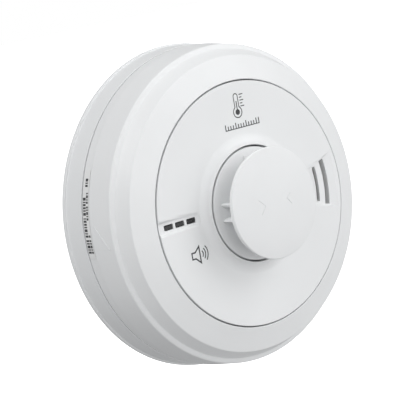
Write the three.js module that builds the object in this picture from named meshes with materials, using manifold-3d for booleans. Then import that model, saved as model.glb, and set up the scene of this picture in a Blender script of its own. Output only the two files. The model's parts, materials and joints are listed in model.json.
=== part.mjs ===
// Round mains heat alarm: a mounting plate, an alarm head that slides onto it along X, a ring-shaped
// test button in the head's front, and a vented nose that holds the thermistor.
// Millimetres. Pieces are drawn with z as the depth out from the wall, and the finished group is turned
// so that the front faces -Y, the wall face lies on Y = 0 and +Z is up.
import * as THREE from 'three';
import { mergeVertices } from 'three/addons/utils/BufferGeometryUtils.js';
import Module from 'manifold-3d';

const wasm = await Module();
wasm.setup();

// ---------------------------------------------------------------- driving dimensions
const FIT = 0.3; // gap between pieces that touch
const RUN = 0.5; // gap round pieces that move
const RING_STEPS = 48; // facets round the large rings
const NOSE_STEPS = 32; // facets round the nose
const SPRING_STEPS = 24; // bends along a coil spring
const ROD_STEPS = 14; // facets round small round pieces
const ARC_STEPS = 2; // facets along a rounded corner of a profile
const PAST = 1; // how far a cutting solid passes the surface it cuts
const SINK = 0.5; // how far a feature is sunk into the wall it is joined to

// Mounting plate
const RIM_RADIUS = 70.5;
const RIM_DEPTH = 1.8;
const RIM_STEP = 0.9; // how far the rim stands proud of the plate's wall
const PLATE_DEPTH = 12.0;
const PLATE_WALL = 2.1;
const PLATE_FLOOR = 2.4;
const CABLE_ENTRY = { width: 32, height: 17, corner: 4 };
const SCREW_SLOT = { x: 34, width: 5, length: 12, corner: 2.4 };
const STIFFENER = { inset: 5.6, width: 1.4, rise: 1.6 };
const TOOL_SLOT = { width: 8, reach: 3, land: 2 };
const RAIL = { x: 12, y: 45, thickness: 2, height: 6.2, lip: 3.4, lipThickness: 1.7, length: 10, spare: 8 };
const RAIL_STOP = { thickness: 1.6, reach: 2, lead: 2 };
const HOOK = { stem: 2, toe: 2, overlap: 1 };

// Alarm head, from the plate outwards
const PARTING_GAP = 0.3;
const BAND = { step: 1.3, depth: 4.6 }; // visible band of the rear housing
const BACK_WALL = 1.8;
const TONGUE = { height: 5.0, thickness: 1.8 };
const COVER_WALL = 2.3;
const COVER_STEP = 1.0; // how far the cover's wall stands inside the rim
const COVER_DRAFT = 0.9; // how much the wall leans in up to the ridge
const WALL_DEPTH = 12.4; // straight wall of the cover
const RIDGE_LEDGE = 2.3; // width of the step behind the second wall
const SECOND_WALL = { depth: 6.9, lean: 2.8 };
const CROWN_RISE = 3.8; // height of the sloping shoulder
const SLIDE_TRAVEL = 12; // the hooks clear the rails' lips after this much travel

const LABEL = { from: 157.5, to: 187.5, lift: 0.1, thickness: 0.15, edge: 0.5, margin: 0.2 };

// Test button and the well it sits in
const BUTTON_RADIUS = 52.35;
const BUTTON_BORE = 24.9;
const BUTTON_TRAVEL = 1.2;
const BUTTON_DOME = 0.5;
const BUTTON_PLATE = 2.0;
const BUTTON_SKIRT = 1.5; // thickness of the skirts at the edge and round the bore
const BORE_SKIRT_RISE = 0.4;
const COLLAR = { rise: 2.6, width: 5.1 };
const WELL_DEPTH = 5.2;
const SHELF = 1.8;

// Nose
const NOSE_GAP = 0.6; // air gap between the button's bore and the nose
const NOSE_WALL = 1.7;
const CONE = { rise: 4.6, top: 12.8 };
const SENSOR_WELL = { radius: 11, depth: 4.4 };
const CAP = { inset: 0.5, gap: 5.0, edge: 1.9, crown: 1.9, thickness: 2.0 };
const FIN = { inner: 13.2, inset: 2.6, thickness: 2.0, spread: 9.5 };
const NOSE_COLLAR = { inset: 5.1, thickness: 1.6, length: 4 };

// Indicators and horn outlet, on the row's X axis
// edge: from the first window's centre to the button's edge.
const WINDOW = { length: 4.9, height: 2.3, gap: 1.3, edge: 5.55 };
const CHANNEL = { margin: 1.45, height: 4.8, depth: 0.7, corner: 1 };
const WINDOW_CORNER = 0.5;
// Each slot's distance from the button's edge, its width and its half angle.
const HORN_SLOTS = [{ edge: 14.15, width: 1.8, half: 11.2 }, { edge: 9.15, width: 2.6, half: 12.7 }];
const HORN_RAMP = { edge: 14.65, end: 1.85, halfWidth: 8.0, flare: 0.36, depth: 0.9 };
const RAMP_FADE = 0.05; // the recess runs out this far above the button's face
const HORN = { edge: 11.85, radius: 15, wall: 1.4, height: 9.8, step: 1.4, seat: 2.8 };
const HORN_MOUTH = [10.4, 17, 1.5]; // width, height and corner of the opening towards the slots
const SOUNDER = { disc: 0.4, ceramic: 0.3, ceramicRadius: 9 };

// Electronics
const BOARD = { radius: 60.5, thickness: 1.6, standoff: 5.6 };
const PILLAR = { radius: 3.6, pitch: 57.5, angles: [30, 150, 270] };
const SCREW = { head: 2.9, headHeight: 2.0, shank: 1.35, length: 12 };
const CROSS = { reach: 1.6, width: 0.7, depth: 0.9 };
const BOSS = { wall: 1, sink: 0.6, web: 1.8 };
const STANDOFF = { radius: 2.2, pitch: 40, angles: [90, 210, 330] };
const PILOT = { spare: 0.6, cap: 0.4 };
const BUTTON_LEGS = { edge: 4.35, angles: [45, 165, 285], width: 4, thickness: 1.4, barb: 1.4,
  catch: 0.6, tip: 1.8 };
const SPRING = { edge: 7.35, angles: [105, 220, 335], radius: 2.3, wire: 0.5, turns: 3.5, peg: 1 };
const SWITCH = { x: -25.5, y: 25.5, size: 8, height: 3.6, bore: 1.9, plunger: 1.6, proud: 1.4, floor: 0.6 };
const LED = { base: 1.7, baseHeight: 0.8, radius: 1.5, straight: 1.8, height: 3.1 };
const GUIDE = { below: 0.2, clear: 0.5, flange: 1.6, flangeEnd: 0.35, flangeSide: 1 };
const CELL = { radius: 12.2, height: 5.0, foot: 1.2, footHeight: 0.8, edge: 0.4 };
const CELL_SPOTS = [[-14, 42], [-14, -42]];
const BOX_CORNER = 0.8;
const MAINS_CAPACITOR = { x: 19, y: 42, width: 18, height: 8, rise: 10.5 };
const CHIP = { x: -20, y: -6, width: 9, height: 9, rise: 1.2 };
const ROUND_CAPACITOR = { x: 16, y: -30, radius: 4, rise: 10.4, crimp: 1.7, crimpDepth: 0.3 };
// Each block of the transformer: width, height, and where it starts and ends above the circuit board.
const TRANSFORMER = { x: 32, y: -36, core: [14, 12, 0, 3], bobbin: [10, 9, 2, 9], yoke: [14, 4, 1, 10] };
const THERMISTOR = { bead: 1.3, lead: 0.3, pitch: 1.4, bore: 2.4 };
const BLADE = { ys: [16, 23, 30], thickness: 0.8, low: 4.6, height: 3.6, reach: 12.8, x: -9.8, width: 2 };
const TERMINAL = { x0: -6, x1: 16, y0: 11.5, y1: 34.5, top: 10.2, channel: 3.2, screwX: 9, screw: 2.2 };
const CHANNEL_CLEAR = 0.4; // round a contact blade in the terminal block's channel
const CONTACT_LIFT = 0.1; // film of air under the flat contact
const CONTACT = { width: 2.4, thickness: 0.6, start: 0.6, end: 1 };
const TERMINAL_SCREW = { below: 1, slot: 0.7, slotDepth: 0.9, clear: 1.6 };
const TERMINAL_CAP = { reach: 5, wall: 1.2, lid: 1.1, skirtBack: 5 };
const CATCH = { pivotX: 50, pivotZ: 5.4, length: 15.6, width: 9, thickness: 1.6, nose: 2.4, pin: 1.3 };
const CATCH_NOSE = { tip: 0.8, slope: 2 };
const EAR = { thickness: 2, length: 6, cover: 1.6 };

// ---------------------------------------------------------------- depths that follow from them
const headBack = PLATE_DEPTH + PARTING_GAP;
const bandFront = headBack + BAND.depth;
const coverBack = bandFront + FIT;
const ridgeZ = coverBack + WALL_DEPTH;
const shoulderZ = ridgeZ + SECOND_WALL.depth;
const buttonEdgeZ = shoulderZ + CROWN_RISE;
const buttonFaceZ = buttonEdgeZ + BUTTON_DOME;
const buttonBackZ = buttonFaceZ - BUTTON_PLATE;
const lipZ = buttonFaceZ + COLLAR.rise;
const shelfZ = buttonEdgeZ - WELL_DEPTH;
const shelfBackZ = shelfZ - SHELF;
const coneZ = lipZ + CONE.rise;
const sensorFloorZ = coneZ - SENSOR_WELL.depth;
const capBackZ = coneZ + CAP.gap;
const innerBackZ = headBack + BACK_WALL;
const boardZ = innerBackZ + BOARD.standoff;
const boardFrontZ = boardZ + BOARD.thickness;
const onBoardZ = boardFrontZ + FIT;

const bandRadius = RIM_RADIUS - BAND.step;
const coverRadius = RIM_RADIUS - COVER_STEP;
const tongueRadius = coverRadius - COVER_WALL - FIT;
const ridgeRadius = coverRadius - COVER_DRAFT;
const secondWallRadius = ridgeRadius - RIDGE_LEDGE;
const shoulderRadius = secondWallRadius - SECOND_WALL.lean;
const wellRadius = BUTTON_RADIUS + RUN;
const noseRadius = BUTTON_BORE - NOSE_GAP;
const noseCollarRadius = noseRadius - NOSE_COLLAR.inset;
const capRadius = noseRadius - CAP.inset;
const legPitch = BUTTON_RADIUS - BUTTON_LEGS.edge;
const springPitch = BUTTON_RADIUS - SPRING.edge;
const hornX = BUTTON_RADIUS - HORN.edge;
const ledX = [0, 1, 2].map((i) => WINDOW.edge - BUTTON_RADIUS + i * (WINDOW.length + WINDOW.gap));

// ---------------------------------------------------------------- solids and cuts
function toSolid(geometry) {
  geometry.deleteAttribute('normal');
  geometry.deleteAttribute('uv');
  const merged = mergeVertices(geometry, 1e-4);
  const points = merged.attributes.position.array;
  const faces = [];
  const index = merged.index.array;
  for (let i = 0; i < index.length; i += 3) {
    const [a, b, c] = [index[i], index[i + 1], index[i + 2]];
    if (a !== b && b !== c && c !== a) faces.push(a, b, c);
  }
  const corner = (i) => new THREE.Vector3(points[3 * i], points[3 * i + 1], points[3 * i + 2]);
  let volume = 0;
  for (let i = 0; i < faces.length; i += 3) {
    volume += corner(faces[i]).dot(corner(faces[i + 1]).cross(corner(faces[i + 2])));
  }
  if (volume < 0) faces.reverse();
  const mesh = { numProp: 3, vertProperties: new Float32Array(points), triVerts: new Uint32Array(faces) };
  return new wasm.Manifold(new wasm.Mesh(mesh));
}

function toGeometry(solid) {
  const mesh = solid.getMesh();
  const geometry = new THREE.BufferGeometry();
  geometry.setAttribute('position', new THREE.BufferAttribute(mesh.vertProperties, 3));
  geometry.setIndex(new THREE.BufferAttribute(mesh.triVerts, 1));
  geometry.computeVertexNormals();
  return geometry;
}

// A closed profile of radius and depth, turned about the axis.
function revolve(path, steps = RING_STEPS) {
  const points = path.getPoints(ARC_STEPS);
  return toSolid(new THREE.LatheGeometry(points, steps).rotateX(Math.PI / 2));
}

// Starts a profile of radius and depth.
function profile(r, z) {
  return new THREE.Path().moveTo(r, z);
}

function ring(inner, outer, z0, z1, steps = RING_STEPS) {
  const path = profile(inner, z0).lineTo(outer, z0).lineTo(outer, z1).lineTo(inner, z1).lineTo(inner, z0);
  return revolve(path, steps);
}

function rod(radius, z0, z1, x = 0, y = 0, steps = ROD_STEPS) {
  const geometry = new THREE.CylinderGeometry(radius, radius, z1 - z0, steps).rotateX(Math.PI / 2);
  return toSolid(geometry.translate(x, y, (z0 + z1) / 2));
}

function block(x0, x1, y0, y1, z0, z1) {
  const geometry = new THREE.BoxGeometry(x1 - x0, y1 - y0, z1 - z0);
  return toSolid(geometry.translate((x0 + x1) / 2, (y0 + y1) / 2, (z0 + z1) / 2));
}

function extrude(shape, z0, z1, curveSegments = ARC_STEPS) {
  const options = { depth: z1 - z0, bevelEnabled: false, curveSegments };
  return toSolid(new THREE.ExtrudeGeometry(shape, options).translate(0, 0, z0));
}

// A rectangle with rounded corners, centred on x and y.
function roundedBlock(width, height, corner, z0, z1, x = 0, y = 0) {
  const [w, h] = [width / 2, height / 2];
  const shape = new THREE.Shape();
  shape.absarc(w - corner, h - corner, corner, 0, Math.PI / 2);
  shape.absarc(corner - w, h - corner, corner, Math.PI / 2, Math.PI);
  shape.absarc(corner - w, corner - h, corner, Math.PI, 1.5 * Math.PI);
  shape.absarc(w - corner, corner - h, corner, 1.5 * Math.PI, 2 * Math.PI);
  return extrude(shape, z0, z1).translate([x, y, 0]);
}

// Part of a ring between two angles, given in degrees.
function arcBlock(inner, outer, from, to, z0, z1, curveSegments = 8) {
  const shape = new THREE.Shape();
  shape.absarc(0, 0, outer, THREE.MathUtils.degToRad(from), THREE.MathUtils.degToRad(to), false);
  shape.absarc(0, 0, inner, THREE.MathUtils.degToRad(to), THREE.MathUtils.degToRad(from), true);
  return extrude(shape, z0, z1, curveSegments);
}

// A straight-sided outline in the X-depth plane, given a thickness along Y.
function sideBlock(points, y0, y1) {
  const shape = new THREE.Shape(points.map(([x, z]) => new THREE.Vector2(x, z)));
  const geometry = new THREE.ExtrudeGeometry(shape, { depth: y1 - y0, bevelEnabled: false });
  return toSolid(geometry.rotateX(Math.PI / 2).translate(0, y1, 0));
}

function join(solids) {
  return solids.reduce((sum, solid) => sum.add(solid));
}

function cut(solid, tools) {
  return tools.reduce((rest, tool) => rest.subtract(tool), solid);
}

// Copies of a solid that lies on the +X side, turned to each angle about the axis.
function around(angles, solid) {
  return angles.map((angle) => solid.rotate([0, 0, angle]));
}

function polar(radius, angle) {
  const turn = THREE.MathUtils.degToRad(angle);
  return [radius * Math.cos(turn), radius * Math.sin(turn)];
}

// ---------------------------------------------------------------- materials
function look(color, roughness, metalness = 0) {
  return new THREE.MeshStandardMaterial({ color, roughness, metalness });
}

const WHITE = look(0xeceeee, 0.42);
const PLATE_WHITE = look(0xe4e7e6, 0.5);
const TERMINAL_GREY = look(0x8f9496, 0.5);
const BOARD_GREEN = look(0x1e6b3f, 0.45);
const BLACK = look(0x1b1c1e, 0.5);
const SMOKED = look(0x26282b, 0.2);
const STEEL = look(0xb9bcc0, 0.35, 1);
const BRASS = look(0xc9a24b, 0.35, 1);
const CERAMIC = look(0xe8e4d8, 0.4);
const AMBER_BOX = look(0xc98a2a, 0.4);
const LED_LOOKS = [look(0x39a857, 0.2), look(0xc8342e, 0.2), look(0xd9a531, 0.2)];

const detector = new THREE.Group();
detector.rotation.x = Math.PI / 2;

function place(name, solid, material) {
  const mesh = new THREE.Mesh(toGeometry(solid), material);
  mesh.name = name;
  detector.add(mesh);
}

// ---------------------------------------------------------------- mounting plate
const plateWallRadius = RIM_RADIUS - RIM_STEP;
const plateInnerRadius = plateWallRadius - PLATE_WALL;
const railTop = PLATE_FLOOR + RAIL.height;
const lipBack = railTop - RAIL.lipThickness;
const lipStarts = [RAIL.x, RAIL.x - RAIL.length - SLIDE_TRAVEL - RAIL.spare];
const railStart = lipStarts[1] - RAIL_STOP.lead;
const railEnd = lipStarts[0] + RAIL.length + RUN;

function plateDish() {
  const path = profile(0, 0)
    .lineTo(RIM_RADIUS - 0.5, 0)
    .quadraticCurveTo(RIM_RADIUS, 0, RIM_RADIUS, 0.5)
    .lineTo(RIM_RADIUS, RIM_DEPTH - 0.6)
    .quadraticCurveTo(RIM_RADIUS, RIM_DEPTH, plateWallRadius + 0.1, RIM_DEPTH + 0.2)
    .lineTo(plateWallRadius - 0.1, PLATE_DEPTH)
    .lineTo(plateInnerRadius, PLATE_DEPTH)
    .lineTo(plateInnerRadius, PLATE_FLOOR)
    .lineTo(0, PLATE_FLOOR);
  return revolve(path);
}

// One of the two rails: a wall with a lip that points away from the centre, and an end stop.
function rail() {
  const stopEnd = railEnd + RAIL_STOP.thickness;
  const stopReach = RAIL.y + RAIL.lip + RAIL_STOP.reach;
  const foot = PLATE_FLOOR - SINK;
  const wall = block(railStart, stopEnd, RAIL.y - RAIL.thickness, RAIL.y, foot, railTop);
  const lips = lipStarts.map((x) =>
    block(x, x + RAIL.length, RAIL.y - SINK, RAIL.y + RAIL.lip, lipBack, railTop));
  const stop = block(railEnd, stopEnd, RAIL.y - SINK, stopReach, foot, railTop);
  return join([wall, stop, ...lips]);
}

// Round bar along the release catch's pivot.
function pinAcross(radius, length) {
  const geometry = new THREE.CylinderGeometry(radius, radius, length, ROD_STEPS);
  return toSolid(geometry.translate(CATCH.pivotX, 0, CATCH.pivotZ));
}

// Ears with open bores that carry the release catch's pin.
function catchEars() {
  const inner = CATCH.width / 2 + FIT;
  const outer = inner + EAR.thickness;
  const [x0, x1] = [CATCH.pivotX - EAR.length / 2, CATCH.pivotX + EAR.length / 2];
  const top = CATCH.pivotZ + CATCH.pin + EAR.cover;
  const ear = block(x0, x1, inner, outer, PLATE_FLOOR - SINK, top);
  const bore = pinAcross(CATCH.pin + FIT, 2 * (outer + PAST));
  return join([ear, ear.mirror([0, 1, 0])]).subtract(bore);
}

function mountingPlate() {
  const mirroredRail = rail().mirror([0, 1, 0]);
  const stiffenerOuter = plateInnerRadius - STIFFENER.inset;
  const stiffener = ring(stiffenerOuter - STIFFENER.width, stiffenerOuter,
    PLATE_FLOOR - SINK, PLATE_FLOOR + STIFFENER.rise);
  const stiffenerGap = block(CATCH.pivotX - EAR.length / 2 - PAST, RIM_RADIUS,
    -CATCH.width, CATCH.width, PLATE_FLOOR, PLATE_DEPTH);
  const { width, length, corner } = SCREW_SLOT;
  const cutFront = PLATE_FLOOR + PAST;
  const slots = [1, -1].map((side) =>
    roundedBlock(width, length, corner, -PAST, cutFront, side * SCREW_SLOT.x, 0));
  const entry = roundedBlock(CABLE_ENTRY.width, CABLE_ENTRY.height, CABLE_ENTRY.corner, -PAST, cutFront);
  const half = TOOL_SLOT.width / 2;
  const toolSlot = block(plateInnerRadius - TOOL_SLOT.reach, RIM_RADIUS + PAST, -half, half,
    CATCH.pivotZ, PLATE_DEPTH - TOOL_SLOT.land);
  const base = join([plateDish(), stiffener.subtract(stiffenerGap), rail(), mirroredRail, catchEars()]);
  return cut(base, [entry, toolSlot, ...slots]);
}

// Lever with a cross pin and a nose that rises to the alarm head's back.
function releaseCatch() {
  const end = CATCH.pivotX + CATCH.length;
  const [low, high] = [CATCH.pivotZ - CATCH.thickness / 2, CATCH.pivotZ + CATCH.thickness / 2];
  const noseTop = headBack - FIT;
  const outline = [[CATCH.pivotX, low], [end, low], [end, noseTop], [end - CATCH_NOSE.tip, noseTop],
    [end - CATCH.nose, headBack - CATCH_NOSE.slope], [end - CATCH.nose, high], [CATCH.pivotX, high]];
  const lever = sideBlock(outline, -CATCH.width / 2, CATCH.width / 2);
  return lever.add(pinAcross(CATCH.pin, CATCH.width + 2 * EAR.thickness));
}

const channelLow = PLATE_FLOOR + FIT + CHANNEL_CLEAR;
const channelHigh = BLADE.low + BLADE.height + CHANNEL_CLEAR;

function terminalBlock() {
  const body = block(TERMINAL.x0, TERMINAL.x1, TERMINAL.y0, TERMINAL.y1, PLATE_FLOOR + FIT, TERMINAL.top);
  const half = TERMINAL.channel / 2;
  const channels = BLADE.ys.map((y) =>
    block(TERMINAL.x0 - PAST, TERMINAL.x1 + PAST, y - half, y + half, channelLow, channelHigh));
  const wells = BLADE.ys.map((y) =>
    rod(TERMINAL.screw + FIT, channelLow + SINK, TERMINAL.top + PAST, TERMINAL.screwX, y));
  return cut(body, [...channels, ...wells]);
}

function terminalScrew(y) {
  const { below, slot, slotDepth, clear } = TERMINAL_SCREW;
  const top = TERMINAL.top - below;
  const reach = TERMINAL.screw + PAST;
  const body = rod(TERMINAL.screw, channelLow + clear, top, TERMINAL.screwX, y);
  const groove = block(TERMINAL.screwX - reach, TERMINAL.screwX + reach, y - slot / 2, y + slot / 2,
    top - slotDepth, top + PAST);
  return body.subtract(groove);
}

function terminalContact(y) {
  const half = CONTACT.width / 2;
  const low = channelLow + CONTACT_LIFT;
  return block(TERMINAL.x0 + CONTACT.start, TERMINAL.x1 - CONTACT.end, y - half, y + half,
    low, low + CONTACT.thickness);
}

// Snap-on cap over the screw side of the terminal block.
function terminalCover() {
  const { reach, wall, lid, skirtBack } = TERMINAL_CAP;
  const [x0, x1] = [TERMINAL.screwX - reach, TERMINAL.x1 + FIT + wall];
  const [y0, y1] = [TERMINAL.y0 - FIT, TERMINAL.y1 + FIT];
  const lidBack = TERMINAL.top + FIT;
  const top = block(x0, x1, y0 - wall, y1 + wall, lidBack, lidBack + lid);
  const low = block(x0, x1, y0 - wall, y0, skirtBack, lidBack + SINK);
  const high = block(x0, x1, y1, y1 + wall, skirtBack, lidBack + SINK);
  return join([top, low, high]);
}

place('mounting_plate', mountingPlate(), PLATE_WHITE);
place('release_catch', releaseCatch(), PLATE_WHITE);
place('terminal_block', terminalBlock(), TERMINAL_GREY);
place('terminal_cover', terminalCover(), PLATE_WHITE);
const POLES = ['live', 'neutral', 'interconnect'];
BLADE.ys.forEach((y, i) => {
  place(`terminal_screw_${POLES[i]}`, terminalScrew(y), STEEL);
  place(`terminal_contact_${POLES[i]}`, terminalContact(y), BRASS);
});

// ---------------------------------------------------------------- rear housing of the alarm head
const screwSeatZ = headBack + SCREW.headHeight + BOSS.sink;
const bossFrontZ = screwSeatZ + BOSS.web;

// Hook that wraps round a rail's lip.
function railHook(x) {
  const stemY = RAIL.y + RAIL.lip + RUN;
  const toeTop = lipBack - RUN;
  const toeBack = toeTop - HOOK.toe;
  const stem = block(x, x + RAIL.length, stemY, stemY + HOOK.stem, toeBack, headBack + SINK);
  const toe = block(x, x + RAIL.length, RAIL.y + RUN, stemY + HOOK.overlap, toeBack, toeTop);
  return stem.add(toe);
}

function rearHousing() {
  const path = profile(0, headBack)
    .lineTo(bandRadius - 0.4, headBack)
    .quadraticCurveTo(bandRadius, headBack, bandRadius, headBack + 0.4)
    .lineTo(bandRadius, bandFront)
    .lineTo(tongueRadius, bandFront)
    .lineTo(tongueRadius, bandFront + TONGUE.height)
    .lineTo(tongueRadius - TONGUE.thickness, bandFront + TONGUE.height)
    .lineTo(tongueRadius - TONGUE.thickness, innerBackZ)
    .lineTo(0, innerBackZ);
  const hooks = lipStarts.map(railHook);
  const mirrored = hooks.map((hook) => hook.mirror([0, 1, 0]));
  const bossRadius = PILLAR.radius + BOSS.wall;
  const bosses = around(PILLAR.angles, rod(bossRadius, headBack + SINK, bossFrontZ, PILLAR.pitch));
  const standoffs = around(STANDOFF.angles,
    rod(STANDOFF.radius, innerBackZ - SINK, boardZ - FIT, STANDOFF.pitch));
  const seats = around(PILLAR.angles, rod(SCREW.head + RUN, headBack - PAST, screwSeatZ, PILLAR.pitch));
  const holes = around(PILLAR.angles,
    rod(SCREW.shank + FIT, headBack - PAST, bossFrontZ + PAST, PILLAR.pitch));
  const half = BLADE.thickness / 2 + RUN;
  const slots = BLADE.ys.map((y) =>
    block(BLADE.x - RUN, BLADE.x + BLADE.width + RUN, y - half, y + half,
      headBack - PAST, innerBackZ + PAST));
  const shell = join([revolve(path), ...hooks, ...mirrored, ...bosses, ...standoffs]);
  return cut(shell, [...seats, ...holes, ...slots]);
}

function housingScrew(angle) {
  const [x, y] = polar(PILLAR.pitch, angle);
  const headZ = screwSeatZ - FIT - SCREW.headHeight;
  const seatZ = headZ + SCREW.headHeight;
  const head = rod(SCREW.head, headZ, seatZ, x, y);
  const shank = rod(SCREW.shank, seatZ - SINK, seatZ + SCREW.length, x, y);
  const { reach, width, depth } = CROSS;
  const bar = block(-reach, reach, -width / 2, width / 2, headZ - PAST, headZ + depth);
  const cross = [bar, bar.rotate([0, 0, 90])].map((solid) => solid.translate([x, y, 0]));
  return cut(head.add(shank), cross);
}

// Flat strip that reaches through the back wall and turns into the terminal block's channel.
function contactBlade(y) {
  const half = BLADE.thickness / 2;
  const tab = block(BLADE.x, BLADE.x + BLADE.width, y - half, y + half, BLADE.low, boardZ - FIT);
  const top = BLADE.low + BLADE.height;
  const foot = block(BLADE.x, BLADE.x + BLADE.reach, y - half, y + half, BLADE.low, top);
  return tab.add(foot);
}

// Paper strip bonded to the band of the rear housing, over a whole number of the band's facets.
function dateLabel() {
  const facet = 360 / RING_STEPS;
  const facets = Math.round((LABEL.to - LABEL.from) / facet);
  const from = Math.round(LABEL.from / facet) * facet;
  const inner = bandRadius + LABEL.lift;
  return arcBlock(inner, inner + LABEL.thickness, from, from + facets * facet,
    headBack + LABEL.edge, bandFront - LABEL.margin, facets);
}

place('rear_housing', rearHousing(), WHITE);
place('date_label', dateLabel(), look(0xf4f4f1, 0.6));
PILLAR.angles.forEach((angle, i) => place(`housing_screw_${i + 1}`, housingScrew(angle), STEEL));
BLADE.ys.forEach((y, i) => place(`contact_blade_${POLES[i]}`, contactBlade(y), BRASS));

// ---------------------------------------------------------------- front cover
function coverShell() {
  const inner = coverRadius - COVER_WALL;
  const crownEdge = wellRadius + 0.4;
  const wellBack = wellRadius + SHELF;
  const path = profile(inner, coverBack)
    .lineTo(coverRadius - 0.3, coverBack)
    .lineTo(coverRadius, coverBack + 0.3)
    .lineTo(ridgeRadius, ridgeZ - 0.6)
    .quadraticCurveTo(ridgeRadius, ridgeZ + 0.1, ridgeRadius - 0.7, ridgeZ + 0.3)
    .lineTo(secondWallRadius + 0.4, ridgeZ + 0.7)
    .quadraticCurveTo(secondWallRadius, ridgeZ + 0.8, secondWallRadius - 0.2, ridgeZ + 1.3)
    .lineTo(shoulderRadius + 0.1, shoulderZ - 0.3)
    .quadraticCurveTo(shoulderRadius, shoulderZ, shoulderRadius - 0.4, shoulderZ + 0.15)
    .lineTo(crownEdge, buttonEdgeZ)
    .quadraticCurveTo(wellRadius, buttonEdgeZ, wellRadius, buttonEdgeZ - 0.4)
    .lineTo(wellRadius, shelfZ)
    .lineTo(noseCollarRadius + FIT, shelfZ)
    .lineTo(noseCollarRadius + FIT, shelfBackZ)
    .lineTo(wellBack, shelfBackZ)
    .lineTo(wellBack, buttonEdgeZ - 2.4)
    .lineTo(shoulderRadius - 3, shoulderZ - 1.2)
    .lineTo(secondWallRadius - 2.4, ridgeZ)
    .lineTo(inner - COVER_DRAFT, ridgeZ - 2.4)
    .lineTo(inner, bandFront + TONGUE.height + FIT)
    .lineTo(inner, coverBack);
  return revolve(path);
}

// Hole in the shelf that a button leg snaps through.
function legHole() {
  const half = BUTTON_LEGS.width / 2 + RUN;
  const reach = BUTTON_LEGS.thickness / 2 + RUN;
  return block(legPitch - reach, legPitch + reach, -half, half, shelfBackZ - PAST, shelfZ + PAST);
}

function frontCover() {
  const pillarFrontZ = shoulderZ - PILOT.cap;
  const pilotEnd = screwSeatZ + SCREW.length + PILOT.spare;
  const pillars = around(PILLAR.angles, rod(PILLAR.radius, bossFrontZ + FIT, pillarFrontZ, PILLAR.pitch));
  const pilots = around(PILLAR.angles, rod(SCREW.shank + FIT, bossFrontZ, pilotEnd, PILLAR.pitch));
  const windows = ledX.map((x) =>
    block(x - WINDOW.length / 2, x + WINDOW.length / 2, -WINDOW.height / 2, WINDOW.height / 2,
      shelfBackZ - PAST, shelfZ + PAST));
  const hornHole = roundedBlock(...HORN_MOUTH, shelfBackZ - PAST, shelfZ + PAST, hornX, 0);
  const pusherHole = rod(SWITCH.plunger + RUN, shelfBackZ - PAST, shelfZ + PAST, SWITCH.x, SWITCH.y);
  const legHoles = around(BUTTON_LEGS.angles, legHole());
  const pegRadius = SPRING.radius - SPRING.wire - FIT;
  const pegs = around(SPRING.angles, rod(pegRadius, shelfZ - SINK, shelfZ + SPRING.peg, springPitch));
  const shell = join([coverShell(), ...pillars, ...pegs]);
  return cut(shell, [...pilots, ...windows, hornHole, pusherHole, ...legHoles]);
}

place('front_cover', frontCover(), WHITE);

// ---------------------------------------------------------------- test button
// Surface from the outer edge over a shallow dome to the collar round the nose.
function buttonShell() {
  const skirtBack = shelfZ + BUTTON_TRAVEL + FIT;
  const path = profile(BUTTON_RADIUS, skirtBack)
    .lineTo(BUTTON_RADIUS, buttonEdgeZ - 0.3)
    .quadraticCurveTo(BUTTON_RADIUS, buttonEdgeZ, BUTTON_RADIUS - 0.4, buttonEdgeZ)
    .quadraticCurveTo(BUTTON_RADIUS - 3, buttonFaceZ, BUTTON_RADIUS - 7, buttonFaceZ)
    .lineTo(BUTTON_BORE + COLLAR.width, buttonFaceZ)
    .quadraticCurveTo(BUTTON_BORE + 1.8, buttonFaceZ + 0.3, BUTTON_BORE + 0.4, lipZ)
    .lineTo(BUTTON_BORE, lipZ - 0.2)
    .lineTo(BUTTON_BORE, skirtBack + BORE_SKIRT_RISE)
    .lineTo(BUTTON_BORE + BUTTON_SKIRT, skirtBack + BORE_SKIRT_RISE)
    .lineTo(BUTTON_BORE + BUTTON_SKIRT, buttonBackZ)
    .lineTo(BUTTON_RADIUS - BUTTON_SKIRT, buttonBackZ)
    .lineTo(BUTTON_RADIUS - BUTTON_SKIRT, skirtBack)
    .lineTo(BUTTON_RADIUS, skirtBack);
  return revolve(path);
}

// Leg with a barb that catches behind the shelf.
function buttonLeg() {
  const [r, half] = [legPitch, BUTTON_LEGS.thickness / 2];
  const hold = shelfBackZ - FIT;
  const tip = hold - BUTTON_LEGS.tip;
  const barb = r + half + BUTTON_LEGS.barb;
  const root = buttonBackZ + SINK;
  const outline = [[r - half, tip], [r + half, tip], [barb, hold - BUTTON_LEGS.catch], [barb, hold],
    [r + half, hold], [r + half, root], [r - half, root]];
  return sideBlock(outline, -BUTTON_LEGS.width / 2, BUTTON_LEGS.width / 2);
}

// Shallow fan-shaped recess that deepens towards the horn slots.
function hornRamp() {
  const { edge, end, halfWidth, flare, depth } = HORN_RAMP;
  const [inner, outer] = [BUTTON_RADIUS - edge, BUTTON_RADIUS - end];
  const far = halfWidth + flare * (outer - inner);
  const floor = buttonFaceZ - depth;
  const corners = [[inner, -halfWidth], [outer, -far], [outer, far], [inner, halfWidth]];
  const outline = new THREE.Shape(corners.map(([x, y]) => new THREE.Vector2(x, y)));
  const fan = extrude(outline, floor - PAST, lipZ);
  const rampEnd = BUTTON_RADIUS - HORN_SLOTS[1].edge + HORN_SLOTS[1].width;
  const above = sideBlock([[inner - PAST, floor], [rampEnd, floor], [outer, buttonFaceZ + RAMP_FADE],
    [outer, lipZ], [inner - PAST, lipZ]], -far - PAST, far + PAST);
  return fan.intersect(above);
}

const plungerTopZ = onBoardZ + SWITCH.height + SWITCH.proud;
const pusherBackZ = plungerTopZ + FIT;

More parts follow.
